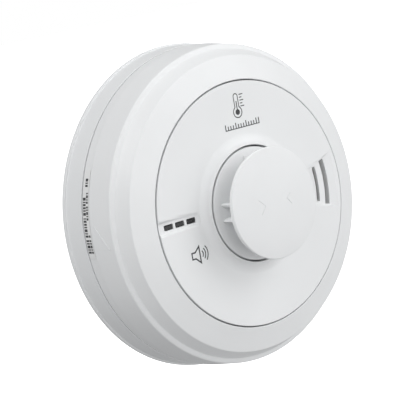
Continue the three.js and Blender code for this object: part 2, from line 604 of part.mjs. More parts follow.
function testButton() {
  const floor = buttonFaceZ - CHANNEL.depth;
  const channelEnd = ledX[2] + WINDOW.length / 2 + CHANNEL.margin;
  const length = channelEnd + BUTTON_RADIUS + CHANNEL.corner + PAST;
  const channel = roundedBlock(length, CHANNEL.height, CHANNEL.corner, floor, lipZ,
    channelEnd - length / 2, 0);
  const windows = ledX.map((x) =>
    roundedBlock(WINDOW.length, WINDOW.height, WINDOW_CORNER, buttonBackZ - PAST, lipZ, x, 0));
  const slots = HORN_SLOTS.map(({ edge, width, half }) => {
    const inner = BUTTON_RADIUS - edge;
    return arcBlock(inner, inner + width, -half, half, buttonBackZ - PAST, lipZ);
  });
  const legs = around(BUTTON_LEGS.angles, buttonLeg());
  const pusher = rod(SWITCH.plunger, pusherBackZ, buttonBackZ + SINK, SWITCH.x, SWITCH.y);
  const cutShell = cut(buttonShell(), [channel, hornRamp(), ...windows, ...slots]);
  return join([cutShell, pusher, ...legs]);
}

class Helix extends THREE.Curve {
  constructor(radius, length, turns) {
    super();
    this.radius = radius;
    this.length = length;
    this.turns = turns;
  }

  getPoint(t, target = new THREE.Vector3()) {
    const turn = 2 * Math.PI * this.turns * t;
    return target.set(this.radius * Math.cos(turn), this.radius * Math.sin(turn), this.length * t);
  }
}

function buttonSpring(angle) {
  const low = shelfZ + FIT + SPRING.wire / 2;
  const high = buttonBackZ - FIT - SPRING.wire / 2;
  const path = new Helix(SPRING.radius - SPRING.wire / 2, high - low, SPRING.turns);
  const section = new THREE.Shape().absarc(0, 0, SPRING.wire / 2, 0, 2 * Math.PI);
  const options = { steps: SPRING_STEPS, extrudePath: path, bevelEnabled: false, curveSegments: 3 };
  const [x, y] = polar(springPitch, angle);
  return toSolid(new THREE.ExtrudeGeometry(section, options).translate(x, y, low));
}

place('test_button', testButton(), WHITE);
SPRING.angles.forEach((angle, i) => place(`button_spring_${i + 1}`, buttonSpring(angle), STEEL));

// ---------------------------------------------------------------- nose
const coneLowZ = lipZ + 0.2;

// Height of the cone's surface at a radius.
function coneHeight(r) {
  const share = (noseRadius - 0.7 - r) / (noseRadius - 0.7 - CONE.top);
  return coneLowZ + (coneZ - coneLowZ) * share;
}

function noseShell() {
  const base = shelfZ + FIT;
  const collarInner = noseCollarRadius - NOSE_COLLAR.thickness;
  const path = profile(noseRadius, base)
    .lineTo(noseRadius, lipZ - 0.6)
    .quadraticCurveTo(noseRadius, coneLowZ - 0.1, noseRadius - 0.7, coneLowZ)
    .lineTo(CONE.top, coneZ - 0.1)
    .quadraticCurveTo(CONE.top - 0.7, coneZ + 0.2, CONE.top - 1.1, coneZ - 0.5)
    .lineTo(SENSOR_WELL.radius, sensorFloorZ + 0.8)
    .quadraticCurveTo(SENSOR_WELL.radius - 0.2, sensorFloorZ, SENSOR_WELL.radius - 1, sensorFloorZ)
    .lineTo(THERMISTOR.bore, sensorFloorZ)
    .lineTo(THERMISTOR.bore, sensorFloorZ - NOSE_WALL)
    .lineTo(SENSOR_WELL.radius + 0.6, sensorFloorZ - NOSE_WALL)
    .lineTo(CONE.top + 1, coneZ - NOSE_WALL - 1.6)
    .lineTo(noseRadius - NOSE_WALL, coneLowZ - NOSE_WALL)
    .lineTo(noseRadius - NOSE_WALL, base + NOSE_WALL)
    .lineTo(collarInner, base + NOSE_WALL)
    .lineTo(collarInner, shelfZ - NOSE_COLLAR.length)
    .lineTo(noseCollarRadius, shelfZ - NOSE_COLLAR.length)
    .lineTo(noseCollarRadius, base)
    .lineTo(noseRadius, base);
  return revolve(path, NOSE_STEPS);
}

// Radial fin between the cap and the cone.
function capFin() {
  const { inner, thickness } = FIN;
  const outer = capRadius - FIN.inset;
  const outline = [[inner, coneHeight(inner) + FIT], [outer, coneHeight(outer) + FIT],
    [outer, capBackZ + 0.7], [inner, capBackZ + 0.7]];
  return sideBlock(outline, -thickness / 2, thickness / 2);
}

function sensorCap() {
  const edge = capBackZ + CAP.edge;
  const crown = edge + CAP.crown;
  const path = profile(0, crown)
    .quadraticCurveTo(capRadius * 0.6, crown, capRadius - 1.0, edge + 0.35)
    .quadraticCurveTo(capRadius, edge, capRadius, edge - 0.8)
    .lineTo(capRadius - 0.1, capBackZ + 0.4)
    .quadraticCurveTo(capRadius - 0.2, capBackZ, capRadius - 0.7, capBackZ)
    .lineTo(capRadius - 1.6, capBackZ)
    .lineTo(capRadius - 2.0, capBackZ + 0.5)
    .lineTo(0, crown - CAP.thickness);
  const angles = [0, 90, 180, 270].flatMap((a) => [a - FIN.spread, a + FIN.spread]);
  return join([revolve(path, NOSE_STEPS), ...around(angles, capFin())]);
}

const beadZ = coneZ + CAP.gap / 2;

function thermistorBead() {
  return toSolid(new THREE.SphereGeometry(THERMISTOR.bead, 12, 8).translate(0, 0, beadZ));
}

function thermistorLead(side) {
  const x = side * THERMISTOR.pitch / 2;
  return rod(THERMISTOR.lead, onBoardZ, beadZ - THERMISTOR.bead, x, 0, 8);
}

place('sensor_housing', noseShell(), WHITE);
place('sensor_cap', sensorCap(), WHITE);
place('thermistor', thermistorBead(), BLACK);
place('thermistor_lead_1', thermistorLead(-1), STEEL);
place('thermistor_lead_2', thermistorLead(1), STEEL);

// ---------------------------------------------------------------- electronics
function circuitBoard() {
  const notches = around(PILLAR.angles,
    rod(PILLAR.radius + RUN, boardZ - PAST, boardFrontZ + PAST, PILLAR.pitch));
  return cut(rod(BOARD.radius, boardZ, boardFrontZ, 0, 0, RING_STEPS), notches);
}

function indicator(x) {
  const { base, baseHeight, radius, straight, height } = LED;
  const path = profile(0, onBoardZ)
    .lineTo(base, onBoardZ)
    .lineTo(base, onBoardZ + baseHeight)
    .lineTo(radius, onBoardZ + baseHeight)
    .lineTo(radius, onBoardZ + straight)
    .quadraticCurveTo(radius, onBoardZ + height, 0, onBoardZ + height);
  return revolve(path, ROD_STEPS).translate([x, 0, 0]);
}

// Pillar that carries the light from an indicator to its window, held by a flange behind the shelf.
function lightGuide(x) {
  const top = buttonFaceZ - CHANNEL.depth - GUIDE.below;
  const [w, h] = [WINDOW.length / 2 - FIT, WINDOW.height / 2 - FIT];
  const [wide, high] = [w + GUIDE.flangeEnd, h + GUIDE.flangeSide];
  const flangeFront = shelfBackZ - FIT;
  const pillar = block(x - w, x + w, -h, h, onBoardZ + LED.height + GUIDE.clear, top);
  const flange = block(x - wide, x + wide, -high, high, flangeFront - GUIDE.flange, flangeFront);
  return pillar.add(flange);
}

function tactSwitch() {
  const half = SWITCH.size / 2;
  const body = block(SWITCH.x - half, SWITCH.x + half, SWITCH.y - half, SWITCH.y + half,
    onBoardZ, onBoardZ + SWITCH.height);
  const [floor, front] = [onBoardZ + SWITCH.floor, onBoardZ + SWITCH.height + PAST];
  return body.subtract(rod(SWITCH.bore, floor, front, SWITCH.x, SWITCH.y));
}

function switchPlunger() {
  const back = onBoardZ + SWITCH.floor + FIT + BUTTON_TRAVEL;
  return rod(SWITCH.plunger, back, plungerTopZ, SWITCH.x, SWITCH.y);
}

// Resonator cup with a step that holds the sounder disc, open at the back and towards the slots.
function hornChamber() {
  const top = shelfBackZ - FIT;
  const back = top - HORN.height;
  const { radius, wall, step, seat } = HORN;
  const path = profile(0, top)
    .lineTo(radius, top)
    .lineTo(radius, back)
    .lineTo(radius - wall, back)
    .lineTo(radius - wall, back + seat)
    .lineTo(radius - wall - step, back + seat)
    .lineTo(radius - wall - step, top - wall)
    .lineTo(0, top - wall);
  const mouth = roundedBlock(...HORN_MOUTH, top - wall - PAST, top + PAST);
  return revolve(path, NOSE_STEPS).subtract(mouth).translate([hornX, 0, 0]);
}

const sounderZ = shelfBackZ - FIT - HORN.height + HORN.seat - FIT;
const sounderBackZ = sounderZ - SOUNDER.disc;

function sounderDisc() {
  return rod(HORN.radius - HORN.wall - FIT, sounderBackZ, sounderZ, hornX, 0, NOSE_STEPS);
}

function sounderCeramic() {
  const front = sounderBackZ - FIT;
  return rod(SOUNDER.ceramicRadius, front - SOUNDER.ceramic, front, hornX, 0, NOSE_STEPS);
}

function lithiumCell([x, y]) {
  const { radius, height, foot, footHeight, edge } = CELL;
  const top = onBoardZ + height;
  const path = profile(0, onBoardZ)
    .lineTo(radius - foot, onBoardZ)
    .lineTo(radius - foot, onBoardZ + footHeight)
    .lineTo(radius, onBoardZ + footHeight + edge)
    .lineTo(radius, top - edge)
    .lineTo(radius - edge, top)
    .lineTo(0, top);
  return revolve(path, NOSE_STEPS).translate([x, y, 0]);
}

function boxPart({ x, y, width, height, rise }) {
  return roundedBlock(width, height, BOX_CORNER, onBoardZ, onBoardZ + rise, x, y);
}

function smoothingCapacitor() {
  const { x, y, radius, rise, crimp, crimpDepth } = ROUND_CAPACITOR;
  const top = onBoardZ + rise;
  const path = profile(0, onBoardZ)
    .lineTo(radius, onBoardZ)
    .lineTo(radius, onBoardZ + crimp - SINK)
    .lineTo(radius - crimpDepth, onBoardZ + crimp)
    .lineTo(radius, onBoardZ + crimp + SINK)
    .lineTo(radius, top - crimpDepth)
    .lineTo(radius - crimpDepth, top)
    .lineTo(0, top);
  return revolve(path, ROD_STEPS).translate([x, y, 0]);
}

// A block centred on the transformer, from one height above the circuit board to another.
function transformerBlock(width, height, from, to) {
  const { x, y } = TRANSFORMER;
  const [w, h] = [width / 2, height / 2];
  return block(x - w, x + w, y - h, y + h, onBoardZ + from, onBoardZ + to);
}

function supplyTransformer() {
  const { core, bobbin, yoke } = TRANSFORMER;
  return join([core, bobbin, yoke].map((size) => transformerBlock(...size)));
}

place('circuit_board', circuitBoard(), BOARD_GREEN);
['power', 'alarm', 'fault'].forEach((name, i) => {
  place(`led_${name}`, indicator(ledX[i]), LED_LOOKS[i]);
  place(`light_guide_${name}`, lightGuide(ledX[i]), SMOKED);
});
place('tact_switch', tactSwitch(), BLACK);
place('switch_plunger', switchPlunger(), look(0xd8d9da, 0.5));
place('horn_chamber', hornChamber(), WHITE);
place('sounder_disc', sounderDisc(), BRASS);
place('sounder_ceramic', sounderCeramic(), CERAMIC);
CELL_SPOTS.forEach((spot, i) => place(`lithium_cell_${i + 1}`, lithiumCell(spot), STEEL));
place('mains_capacitor', boxPart(MAINS_CAPACITOR), AMBER_BOX);
place('smoothing_capacitor', smoothingCapacitor(), BLACK);
place('supply_transformer', supplyTransformer(), AMBER_BOX);
place('controller_chip', boxPart(CHIP), BLACK);

export default detector;
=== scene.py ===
"""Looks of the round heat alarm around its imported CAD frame. Metres; the front faces -Y, +Z is up."""
import json
import math

import bmesh
import bpy
from mathutils import Matrix, Vector


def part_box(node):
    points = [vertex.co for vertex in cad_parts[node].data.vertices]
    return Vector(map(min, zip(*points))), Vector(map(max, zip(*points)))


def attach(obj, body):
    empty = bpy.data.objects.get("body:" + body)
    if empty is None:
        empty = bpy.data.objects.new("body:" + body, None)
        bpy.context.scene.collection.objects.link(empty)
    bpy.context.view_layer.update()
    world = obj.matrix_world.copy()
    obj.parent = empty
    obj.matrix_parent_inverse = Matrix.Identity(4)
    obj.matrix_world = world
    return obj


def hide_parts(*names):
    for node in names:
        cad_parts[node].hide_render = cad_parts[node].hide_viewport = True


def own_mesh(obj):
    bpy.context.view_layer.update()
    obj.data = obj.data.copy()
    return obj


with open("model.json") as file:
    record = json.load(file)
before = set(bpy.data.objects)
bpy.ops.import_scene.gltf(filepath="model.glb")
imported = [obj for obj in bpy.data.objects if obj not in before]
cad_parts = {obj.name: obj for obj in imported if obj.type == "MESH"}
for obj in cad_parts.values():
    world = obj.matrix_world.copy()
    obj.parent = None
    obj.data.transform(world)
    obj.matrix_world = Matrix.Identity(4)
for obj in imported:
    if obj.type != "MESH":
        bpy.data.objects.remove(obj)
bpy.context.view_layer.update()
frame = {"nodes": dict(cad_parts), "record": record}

MM = 0.001
TINY = 1e-6

# ------------------------------------------------------------------ camera, world, floor and lights
AZIMUTH = math.radians(-40.0)
ELEVATION = math.radians(7.7)
ROLL = math.radians(-9.9)
DISTANCE = 1.0
LENS = 204.5
SENSOR = 36.0
AIM = Vector((-14.4, -28.0, 1.6)) * MM
FLOOR_HEIGHT = -0.30
FLOOR_REACH = 6.0
FILL_COLOUR = (0.985, 0.99, 1, 1)
AMBIENT = 0.40
LIGHT_WIDTH = 40  # degrees
LIGHTS = (("front", (0, -1, 0), 0.72), ("front_right", (0.7, -0.7, 0), 0.34),
          ("right_high", (0.58, -0.58, 0.58), 0.89), ("left_high", (-0.7, 0, 0.7), 1.26))


def make_camera():
    """Puts the camera at the photograph's angle."""
    camera = bpy.data.objects.new("camera", bpy.data.cameras.new("camera"))
    bpy.context.scene.collection.objects.link(camera)
    camera.data.lens = LENS
    camera.data.sensor_width = SENSOR
    back = Vector((math.sin(AZIMUTH) * math.cos(ELEVATION), -math.cos(AZIMUTH) * math.cos(ELEVATION),
                   math.sin(ELEVATION)))
    right = Vector((0, 0, 1)).cross(back).normalized()
    up = back.cross(right)
    turn = Matrix((right, up, back)).transposed() @ Matrix.Rotation(ROLL, 3, "Z")
    camera.matrix_world = Matrix.Translation(AIM + back * DISTANCE) @ turn.to_4x4()
    bpy.context.scene.camera = camera


def soft_light(name, direction, strength):
    """A soft studio light from a direction in the row frame."""
    light = bpy.data.objects.new(name, bpy.data.lights.new(name, "SUN"))
    bpy.context.scene.collection.objects.link(light)
    light.data.energy = strength
    light.data.angle = math.radians(LIGHT_WIDTH)
    light.rotation_euler = Vector(direction).to_track_quat("Z", "Y").to_euler()


def make_world():
    """White behind the object, and an even, weaker light from all round it."""
    world = bpy.data.worlds.new("studio")
    bpy.context.scene.world = world
    world.use_nodes = True
    tree = world.node_tree
    backdrop = tree.nodes["Background"]
    backdrop.inputs["Color"].default_value = (1, 1, 1, 1)
    fill = tree.nodes.new("ShaderNodeBackground")
    fill.inputs["Color"].default_value = FILL_COLOUR
    fill.inputs["Strength"].default_value = AMBIENT
    path = tree.nodes.new("ShaderNodeLightPath")
    mix = tree.nodes.new("ShaderNodeMixShader")
    tree.links.new(path.outputs["Is Camera Ray"], mix.inputs[0])
    tree.links.new(fill.outputs[0], mix.inputs[1])
    tree.links.new(backdrop.outputs[0], mix.inputs[2])
    tree.links.new(mix.outputs[0], tree.nodes["World Output"].inputs["Surface"])


# ------------------------------------------------------------------ materials
BLEND_ENDS = (0.35, 0.65)
NOISE_REACH = (0.3, 0.7)
GLOSS_SPREAD = 0.06
GRAIN_STRENGTH = 0.3
BOARD_GREENS = ((0.02, 0.17, 0.07, 1), (0.026, 0.2, 0.085, 1), (0.07, 0.33, 0.14, 1))


def shader_tree(name):
    material = bpy.data.materials.new(name)
    material.use_nodes = True
    tree = material.node_tree
    return material, tree, tree.nodes["Principled BSDF"]


def noise(tree, scale, detail=3.0, stretch=(1, 1, 1)):
    """Noise over the object's own coordinates; scale is in features per metre."""
    coords = tree.nodes.new("ShaderNodeTexCoord")
    mapping = tree.nodes.new("ShaderNodeMapping")
    mapping.inputs["Scale"].default_value = stretch
    texture = tree.nodes.new("ShaderNodeTexNoise")
    texture.inputs["Scale"].default_value = scale
    texture.inputs["Detail"].default_value = detail
    tree.links.new(coords.outputs["Object"], mapping.inputs["Vector"])
    tree.links.new(mapping.outputs["Vector"], texture.inputs["Vector"])
    return texture.outputs["Fac"]


def blend_colours(tree, factor, first, second):
    """Goes from one colour to the other over the middle of a noise."""
    ramp = tree.nodes.new("ShaderNodeValToRGB")
    low, high = ramp.color_ramp.elements
    low.position, high.position = BLEND_ENDS
    low.color, high.color = (*first, 1), (*second, 1)
    tree.links.new(factor, ramp.inputs["Fac"])
    return ramp.outputs["Color"]


def vary(tree, factor, low, high):
    """Spreads a noise between two values."""
    spread = tree.nodes.new("ShaderNodeMapRange")
    for name, value in zip(("From Min", "From Max", "To Min", "To Max"), (*NOISE_REACH, low, high)):
        spread.inputs[name].default_value = value
    tree.links.new(factor, spread.inputs["Value"])
    return spread.outputs["Result"]


def bump(tree, shader, height, depth, strength):
    node = tree.nodes.new("ShaderNodeBump")
    node.inputs["Strength"].default_value = strength
    node.inputs["Distance"].default_value = depth
    tree.links.new(height, node.inputs["Height"])
    tree.links.new(node.outputs["Normal"], shader.inputs["Normal"])


def surface(name, colour, contrast, roughness, grain, depth, metal=0.0, coat=0.0, stretch=(1, 1, 1),
            cloud=55.0, glass=0.0):
    """Colour clouds, uneven gloss and a fine moulded or brushed texture."""
    material, tree, shader = shader_tree(name)
    darker = tuple(c * (1 - contrast) for c in colour)
    clouds = noise(tree, cloud, 4.0)
    tree.links.new(blend_colours(tree, clouds, darker, colour), shader.inputs["Base Color"])
    fine = noise(tree, grain, 2.0, stretch)
    tree.links.new(vary(tree, fine, roughness - GLOSS_SPREAD, roughness + GLOSS_SPREAD),
                   shader.inputs["Roughness"])
    bump(tree, shader, fine, depth, GRAIN_STRENGTH)
    shader.inputs["Metallic"].default_value = metal
    shader.inputs["Coat Weight"].default_value = coat
    shader.inputs["Transmission Weight"].default_value = glass
    return material


def board_surface(name):
    """Solder mask with copper tracks that show through it as raised paler lines."""
    material, tree, shader = shader_tree(name)
    coords = tree.nodes.new("ShaderNodeTexCoord")
    brick = tree.nodes.new("ShaderNodeTexBrick")
    mapping = tree.nodes.new("ShaderNodeMapping")
    mapping.inputs["Rotation"].default_value = (math.radians(90), 0, 0)
    brick.inputs["Scale"].default_value = 160.0
    brick.inputs["Mortar Size"].default_value = 0.035
    for part, green in zip(("Color1", "Color2", "Mortar"), BOARD_GREENS):
        brick.inputs[part].default_value = green
    tree.links.new(coords.outputs["Object"], mapping.inputs["Vector"])
    tree.links.new(mapping.outputs["Vector"], brick.inputs["Vector"])
    tree.links.new(brick.outputs["Color"], shader.inputs["Base Color"])
    tree.links.new(vary(tree, noise(tree, 900), 0.3, 0.42), shader.inputs["Roughness"])
    bump(tree, shader, brick.outputs["Fac"], 0.03 * MM, 0.6)
    return material


def make_looks():
    white = (0.865, 0.875, 0.88)
    return {
        "plate_plastic": surface("plate_plastic", (0.85, 0.862, 0.868), 0.02, 0.5, 2600, 0.02 * MM),
        "housing_plastic": surface("housing_plastic", white, 0.018, 0.46, 3000, 0.02 * MM),
        "button_plastic": surface("button_plastic", white, 0.012, 0.4, 3600, 0.015 * MM),
        "terminal_plastic": surface("terminal_plastic", (0.3, 0.31, 0.32), 0.12, 0.5, 2200, 0.03 * MM),
        "black_plastic": surface("black_plastic", (0.025, 0.025, 0.028), 0.3, 0.45, 2600, 0.03 * MM),
        "amber_plastic": surface("amber_plastic", (0.55, 0.27, 0.045), 0.2, 0.3, 1400, 0.05 * MM, coat=0.6),
        "smoked_plastic": surface("smoked_plastic", (0.012, 0.012, 0.014), 0.5, 0.3, 1800, 0.01 * MM,
                                  coat=0.15, cloud=700.0),
        "led_green": surface("led_green", (0.05, 0.45, 0.11), 0.2, 0.12, 900, 0.01 * MM, glass=0.35),
        "led_red": surface("led_red", (0.6, 0.035, 0.025), 0.2, 0.12, 900, 0.01 * MM, glass=0.35),
        "led_amber": surface("led_amber", (0.75, 0.38, 0.03), 0.2, 0.12, 900, 0.01 * MM, glass=0.35),
        "bead_resin": surface("bead_resin", (0.018, 0.018, 0.022), 0.4, 0.22, 1500, 0.02 * MM, coat=0.5),
        "board_green": board_surface("board_green"),
        "contact_brass": surface("contact_brass", (0.78, 0.55, 0.22), 0.15, 0.32, 1500, 0.01 * MM, metal=1,
                                 stretch=(1, 1, 8)),
        "plated_steel": surface("plated_steel", (0.62, 0.63, 0.64), 0.12, 0.3, 1700, 0.01 * MM, metal=1,
                                stretch=(1, 6, 1)),
        "sounder_ceramic": surface("sounder_ceramic", (0.72, 0.71, 0.66), 0.1, 0.5, 1600, 0.02 * MM),
        "label_paper": surface("label_paper", (0.86, 0.865, 0.86), 0.04, 0.62, 4200, 0.03 * MM,
                               stretch=(1, 1, 3)),
        "ink": surface("ink", (0.055, 0.055, 0.06), 0.35, 0.5, 2600, 0.01 * MM),
    }


# ------------------------------------------------------------------ mesh building, in millimetres
RING_STEPS = 256
NOSE_STEPS = 192
SMALL_STEPS = 48
CURVE_STEPS = 8
CORNER_STEPS = 6
ARC_STEPS = 40
CURVE_SEARCH = 100
SHARP = math.radians(32)


def to_row(x, y, z):
    """x and y across the face and z the depth out from the wall, to a point in the row frame."""
    return Vector((x, -z, y)) * MM


class Outline:
    """A profile of radius and depth."""

    def __init__(self, r, z):
        self.points = [(r, z)]

    def line(self, r, z):
        self.points.append((r, z))
        return self

    def quad(self, cr, cz, r, z, steps=CURVE_STEPS):
        r0, z0 = self.points[-1]
        for i in range(1, steps + 1):
            t = i / steps
            a, b, c = (1 - t) ** 2, 2 * t * (1 - t), t * t
            self.points.append((a * r0 + b * cr + c * r, a * z0 + b * cz + c * z))
        return self


def as_object(name, bm):
    bmesh.ops.recalc_face_normals(bm, faces=bm.faces)
    mesh = bpy.data.meshes.new(name)
    bm.to_mesh(mesh)
    bm.free()
    obj = bpy.data.objects.new(name, mesh)
    bpy.context.scene.collection.objects.link(obj)
    return obj


def lathe(name, outline, steps=RING_STEPS, centre=(0, 0)):
    """Turns a profile about the axis. A profile that leaves the axis is closed on itself."""
    bm = bmesh.new()
    cx, cy = centre
    rings = []
    for r, z in outline.points:
        if r < TINY:
            rings.append([bm.verts.new(to_row(cx, cy, z))])
            continue
        angles = [2 * math.pi * i / steps for i in range(steps)]
        rings.append([bm.verts.new(to_row(cx + r * math.cos(a), cy + r * math.sin(a), z)) for a in angles])
    for first, second in zip(rings, rings[1:] + rings[:1]):
        if len(first) == 1 and len(second) == 1:
            continue
        for i in range(steps):
            j = i + 1
            corners = [first[i % len(first)], first[j % len(first)], second[j % len(second)],
                       second[i % len(second)]]
            bm.faces.new(list(dict.fromkeys(corners)))
    return as_object(name, bm)


def skin(bm, loops, closed=False):
    """Walls between neighbouring loops; an open run gets an end on both sides."""
    count = len(loops[0])
    for first, second in zip(loops, loops[1:] + loops[:1] if closed else loops[1:]):
        for i in range(count):
            j = (i + 1) % count
            bm.faces.new([first[i], first[j], second[j], second[i]])
    if not closed:
        bm.faces.new(loops[0])
        bm.faces.new(loops[-1])


def loft(name, sections):
    """A closed solid through a list of equal-length loops of (x, y, z) points."""
    bm = bmesh.new()
    skin(bm, [[bm.verts.new(to_row(*p)) for p in section] for section in sections])
    return as_object(name, bm)


def rounded_rectangle(width, height, corner, x):
    """Outline of a rectangle whose middle is at x on the X axis."""
    points = []
    w, h = width / 2 - corner, height / 2 - corner
    for quarter, (sx, sy) in enumerate(((1, 1), (-1, 1), (-1, -1), (1, -1))):
        for i in range(CORNER_STEPS + 1):
            a = math.pi / 2 * (quarter + i / CORNER_STEPS)
            points.append((x + sx * w + corner * math.cos(a), sy * h + corner * math.sin(a)))
    return points


def at_depth(points, z):
    return [(x, y, z) for x, y in points]


def arc_band(inner, outer, half):
    """Outline of part of a ring about the +X axis; half is its half angle in degrees."""
    angles = [math.radians(-half + 2 * half * i / ARC_STEPS) for i in range(ARC_STEPS + 1)]
    far = [(outer * math.cos(a), outer * math.sin(a)) for a in angles]
    near = [(inner * math.cos(a), inner * math.sin(a)) for a in reversed(angles)]
    return far + near


def combine(name, objects):
    """One object from several, which keep their own closed surfaces."""
    bm = bmesh.new()
    for obj in objects:
        bm.from_mesh(obj.data)
        bpy.data.objects.remove(obj)
    mesh = bpy.data.meshes.new(name)
    bm.to_mesh(mesh)
    bm.free()
    joined = bpy.data.objects.new(name, mesh)
    bpy.context.scene.collection.objects.link(joined)
    return joined


def boolean(target, tools, operation="DIFFERENCE"):
    """Cuts or keeps what the tools cover, and removes the tools."""
    tool = combine("tool", tools)
    modifier = target.modifiers.new("cut", "BOOLEAN")
    modifier.operation = operation
    modifier.solver = "EXACT"
    modifier.object = tool
    bpy.context.view_layer.update()
    evaluated = target.evaluated_get(bpy.context.evaluated_depsgraph_get())
    mesh = bpy.data.meshes.new_from_object(evaluated)
    target.modifiers.clear()
    target.data = mesh
    bpy.data.objects.remove(tool)
    return target


def node_copy(name, node):
    """A welded copy of a CAD node's mesh, for the parts of it that need no finer shape."""
    bm = bmesh.new()
    bm.from_mesh(frame["nodes"][node].data)
    bmesh.ops.remove_doubles(bm, verts=bm.verts, dist=TINY)
    return as_object(name, bm)


def turned(obj, angle):
    """Turns a solid about the object's axis, anticlockwise as seen from the front."""
    obj.data.transform(Matrix.Rotation(-math.radians(angle), 4, "Y"))
    return obj


def settle(obj, body, slot, looks, nodes=(), look=None):
    """Shades a piece, gives it the material named by look or else by slot, puts it on its body and hides the
    CAD nodes it stands for.
    """
    mesh = obj.data
    mesh.materials.clear()
    mesh.materials.append(looks[look or slot])
    for polygon in mesh.polygons:
        polygon.use_smooth = True
    mesh.set_sharp_from_angle(angle=SHARP)
    weighted = obj.modifiers.new("weighted", "WEIGHTED_NORMAL")
    weighted.keep_sharp = True
    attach(obj, body)
    if nodes:
        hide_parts(*nodes)
    return obj


def reach(node):
    """Outer radius, back and front of a CAD node, in millimetres."""
    low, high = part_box(node)
    return high.x / MM, -high.y / MM, -low.y / MM


# ------------------------------------------------------------------ sizes taken from the CAD frame
FIT = 0.3
RIM_RADIUS, _, PLATE_FRONT = reach("mounting_plate")
HOUSING_RADIUS, _, TONGUE_FRONT = reach("rear_housing")
COVER_RADIUS, _, COVER_FRONT = reach("front_cover")
BUTTON_RADIUS, _, LIP = reach("test_button")
NOSE_RADIUS, _, CONE_TOP = reach("sensor_housing")
CAP_RADIUS, _, CROWN = reach("sensor_cap")

RIM_STEP = 0.9  # how far the rim stands proud of the plate's wall
RIM_DEPTH = 1.8
PLATE_FLOOR = 2.4
TOOL_SLOT = ((-4, 5.4), (4, 5.4), (4, 10), (-4, 10))  # across and depth
HEAD_BACK = PLATE_FRONT + FIT
BAND_FRONT = HEAD_BACK + 4.6
COVER_BACK = BAND_FRONT + FIT
COVER_DRAFT = 0.9
RIDGE = COVER_BACK + 12.4
SHOULDER = RIDGE + 6.9
FACE = COVER_FRONT + 0.5
FACE_BACK = FACE - 2.0
SHELF = COVER_FRONT - 5.2
SHELF_BACK = SHELF - 1.8
BORE = NOSE_RADIUS + 0.6
SEAM = 63.0  # radius inside which the plate and the rear housing need no finer shape
EDGE_RISE = COVER_FRONT + 0.38
EDGE_RADIUS = BUTTON_RADIUS - 0.1
EDGE_ROUND = 0.25
DOME_KNEE = BUTTON_RADIUS - 3
DOME_START = BUTTON_RADIUS - 7
LED_X = (-46.8, -40.6, -34.4)
WINDOW = (4.9, 2.3, 0.5)
WINDOW_EASE = 0.25
CHANNEL_END = -30.5
CHANNEL_DEPTH = 0.7
CHANNEL_WIDTH = 4.2
CHANNEL_SLOPE = 1.1
HORN_SLOTS = ((38.2, 40.0, 11.2), (43.2, 45.8, 12.7))  # inner and outer radius, and half angle
HORN_RIB = (41.6, 47.2, 15)
HORN_MOUTH = (10.4, 17, 1.5, BUTTON_RADIUS - 11.85)
HORN_FAN = (37.3, 45.8, 50.5)  # where it starts, where it begins to rise and where it runs out
HORN_DEPTH = 0.5
HORN_HALF = 8.0
HORN_FLARE = 0.36
FIN_SPREAD = 9.5
NOSE_COLLAR = NOSE_RADIUS - 5.1
CONE_START = LIP + 0.2
CONE_INNER = 12.8
PITS = ((-3.4, 20.6), (-4.4, 19.3))
PIT_RADIUS = 0.4
CAP_EDGE = CROWN - 1.9
CAP_BACK = CROWN - 3.8
CAP_KNEE = CAP_RADIUS * 0.6
CAP_ROUND = CAP_RADIUS - 0.4
GROOVES = (((-10.1, 3.1), (-6.9, -0.1), (-9.6, -3.2)), ((8.0, 2.6), (5.6, 0.8), (7.9, -2.1)))
GROOVE_WIDTH = 0.4
GROOVE_DEPTH = 0.18
LEG_HOLE = (46.8, 49.2, 3.1)
LEG_ANGLES = (45, 165, 285)
SWITCH_SPOT = (-25.5, 25.5)
PUSHER_HOLE = 2.1


def inner_part(node):
    """What a CAD node has inside the seam."""
    core = node_copy("core", node)
    keep = lathe("keep", Outline(0, -5).line(SEAM, -5).line(SEAM, 30).line(0, 30))
    return boolean(core, [keep], "INTERSECT")


def plate(looks):
    wall = RIM_RADIUS - RIM_STEP
    inner = wall - 2.1
    outline = (Outline(SEAM, 0).line(RIM_RADIUS - 0.45, 0).quad(RIM_RADIUS, 0, RIM_RADIUS, 0.45)
               .line(RIM_RADIUS, RIM_DEPTH - 0.5)
               .quad(RIM_RADIUS, RIM_DEPTH, wall + 0.45, RIM_DEPTH + 0.05)
               .quad(wall + 0.1, RIM_DEPTH + 0.1, wall + 0.08, RIM_DEPTH + 0.5)
               .line(wall - 0.1, PLATE_FRONT - 0.3).quad(wall - 0.1, PLATE_FRONT, wall - 0.4, PLATE_FRONT)
               .line(inner + 0.25, PLATE_FRONT).quad(inner, PLATE_FRONT, inner, PLATE_FRONT - 0.25)
               .line(inner, PLATE_FLOOR + 0.5).quad(inner, PLATE_FLOOR, inner - 0.5, PLATE_FLOOR)
               .line(SEAM, PLATE_FLOOR))
    dish = lathe("dish", outline)
    boolean(dish, [loft("slot", [[(x, y, z) for y, z in TOOL_SLOT] for x in (inner - 3, RIM_RADIUS + 1)])])
    settle(combine("plate_shell", [dish, inner_part("mounting_plate")]), "mounting_plate", "plate_plastic",
           looks, ["mounting_plate"])


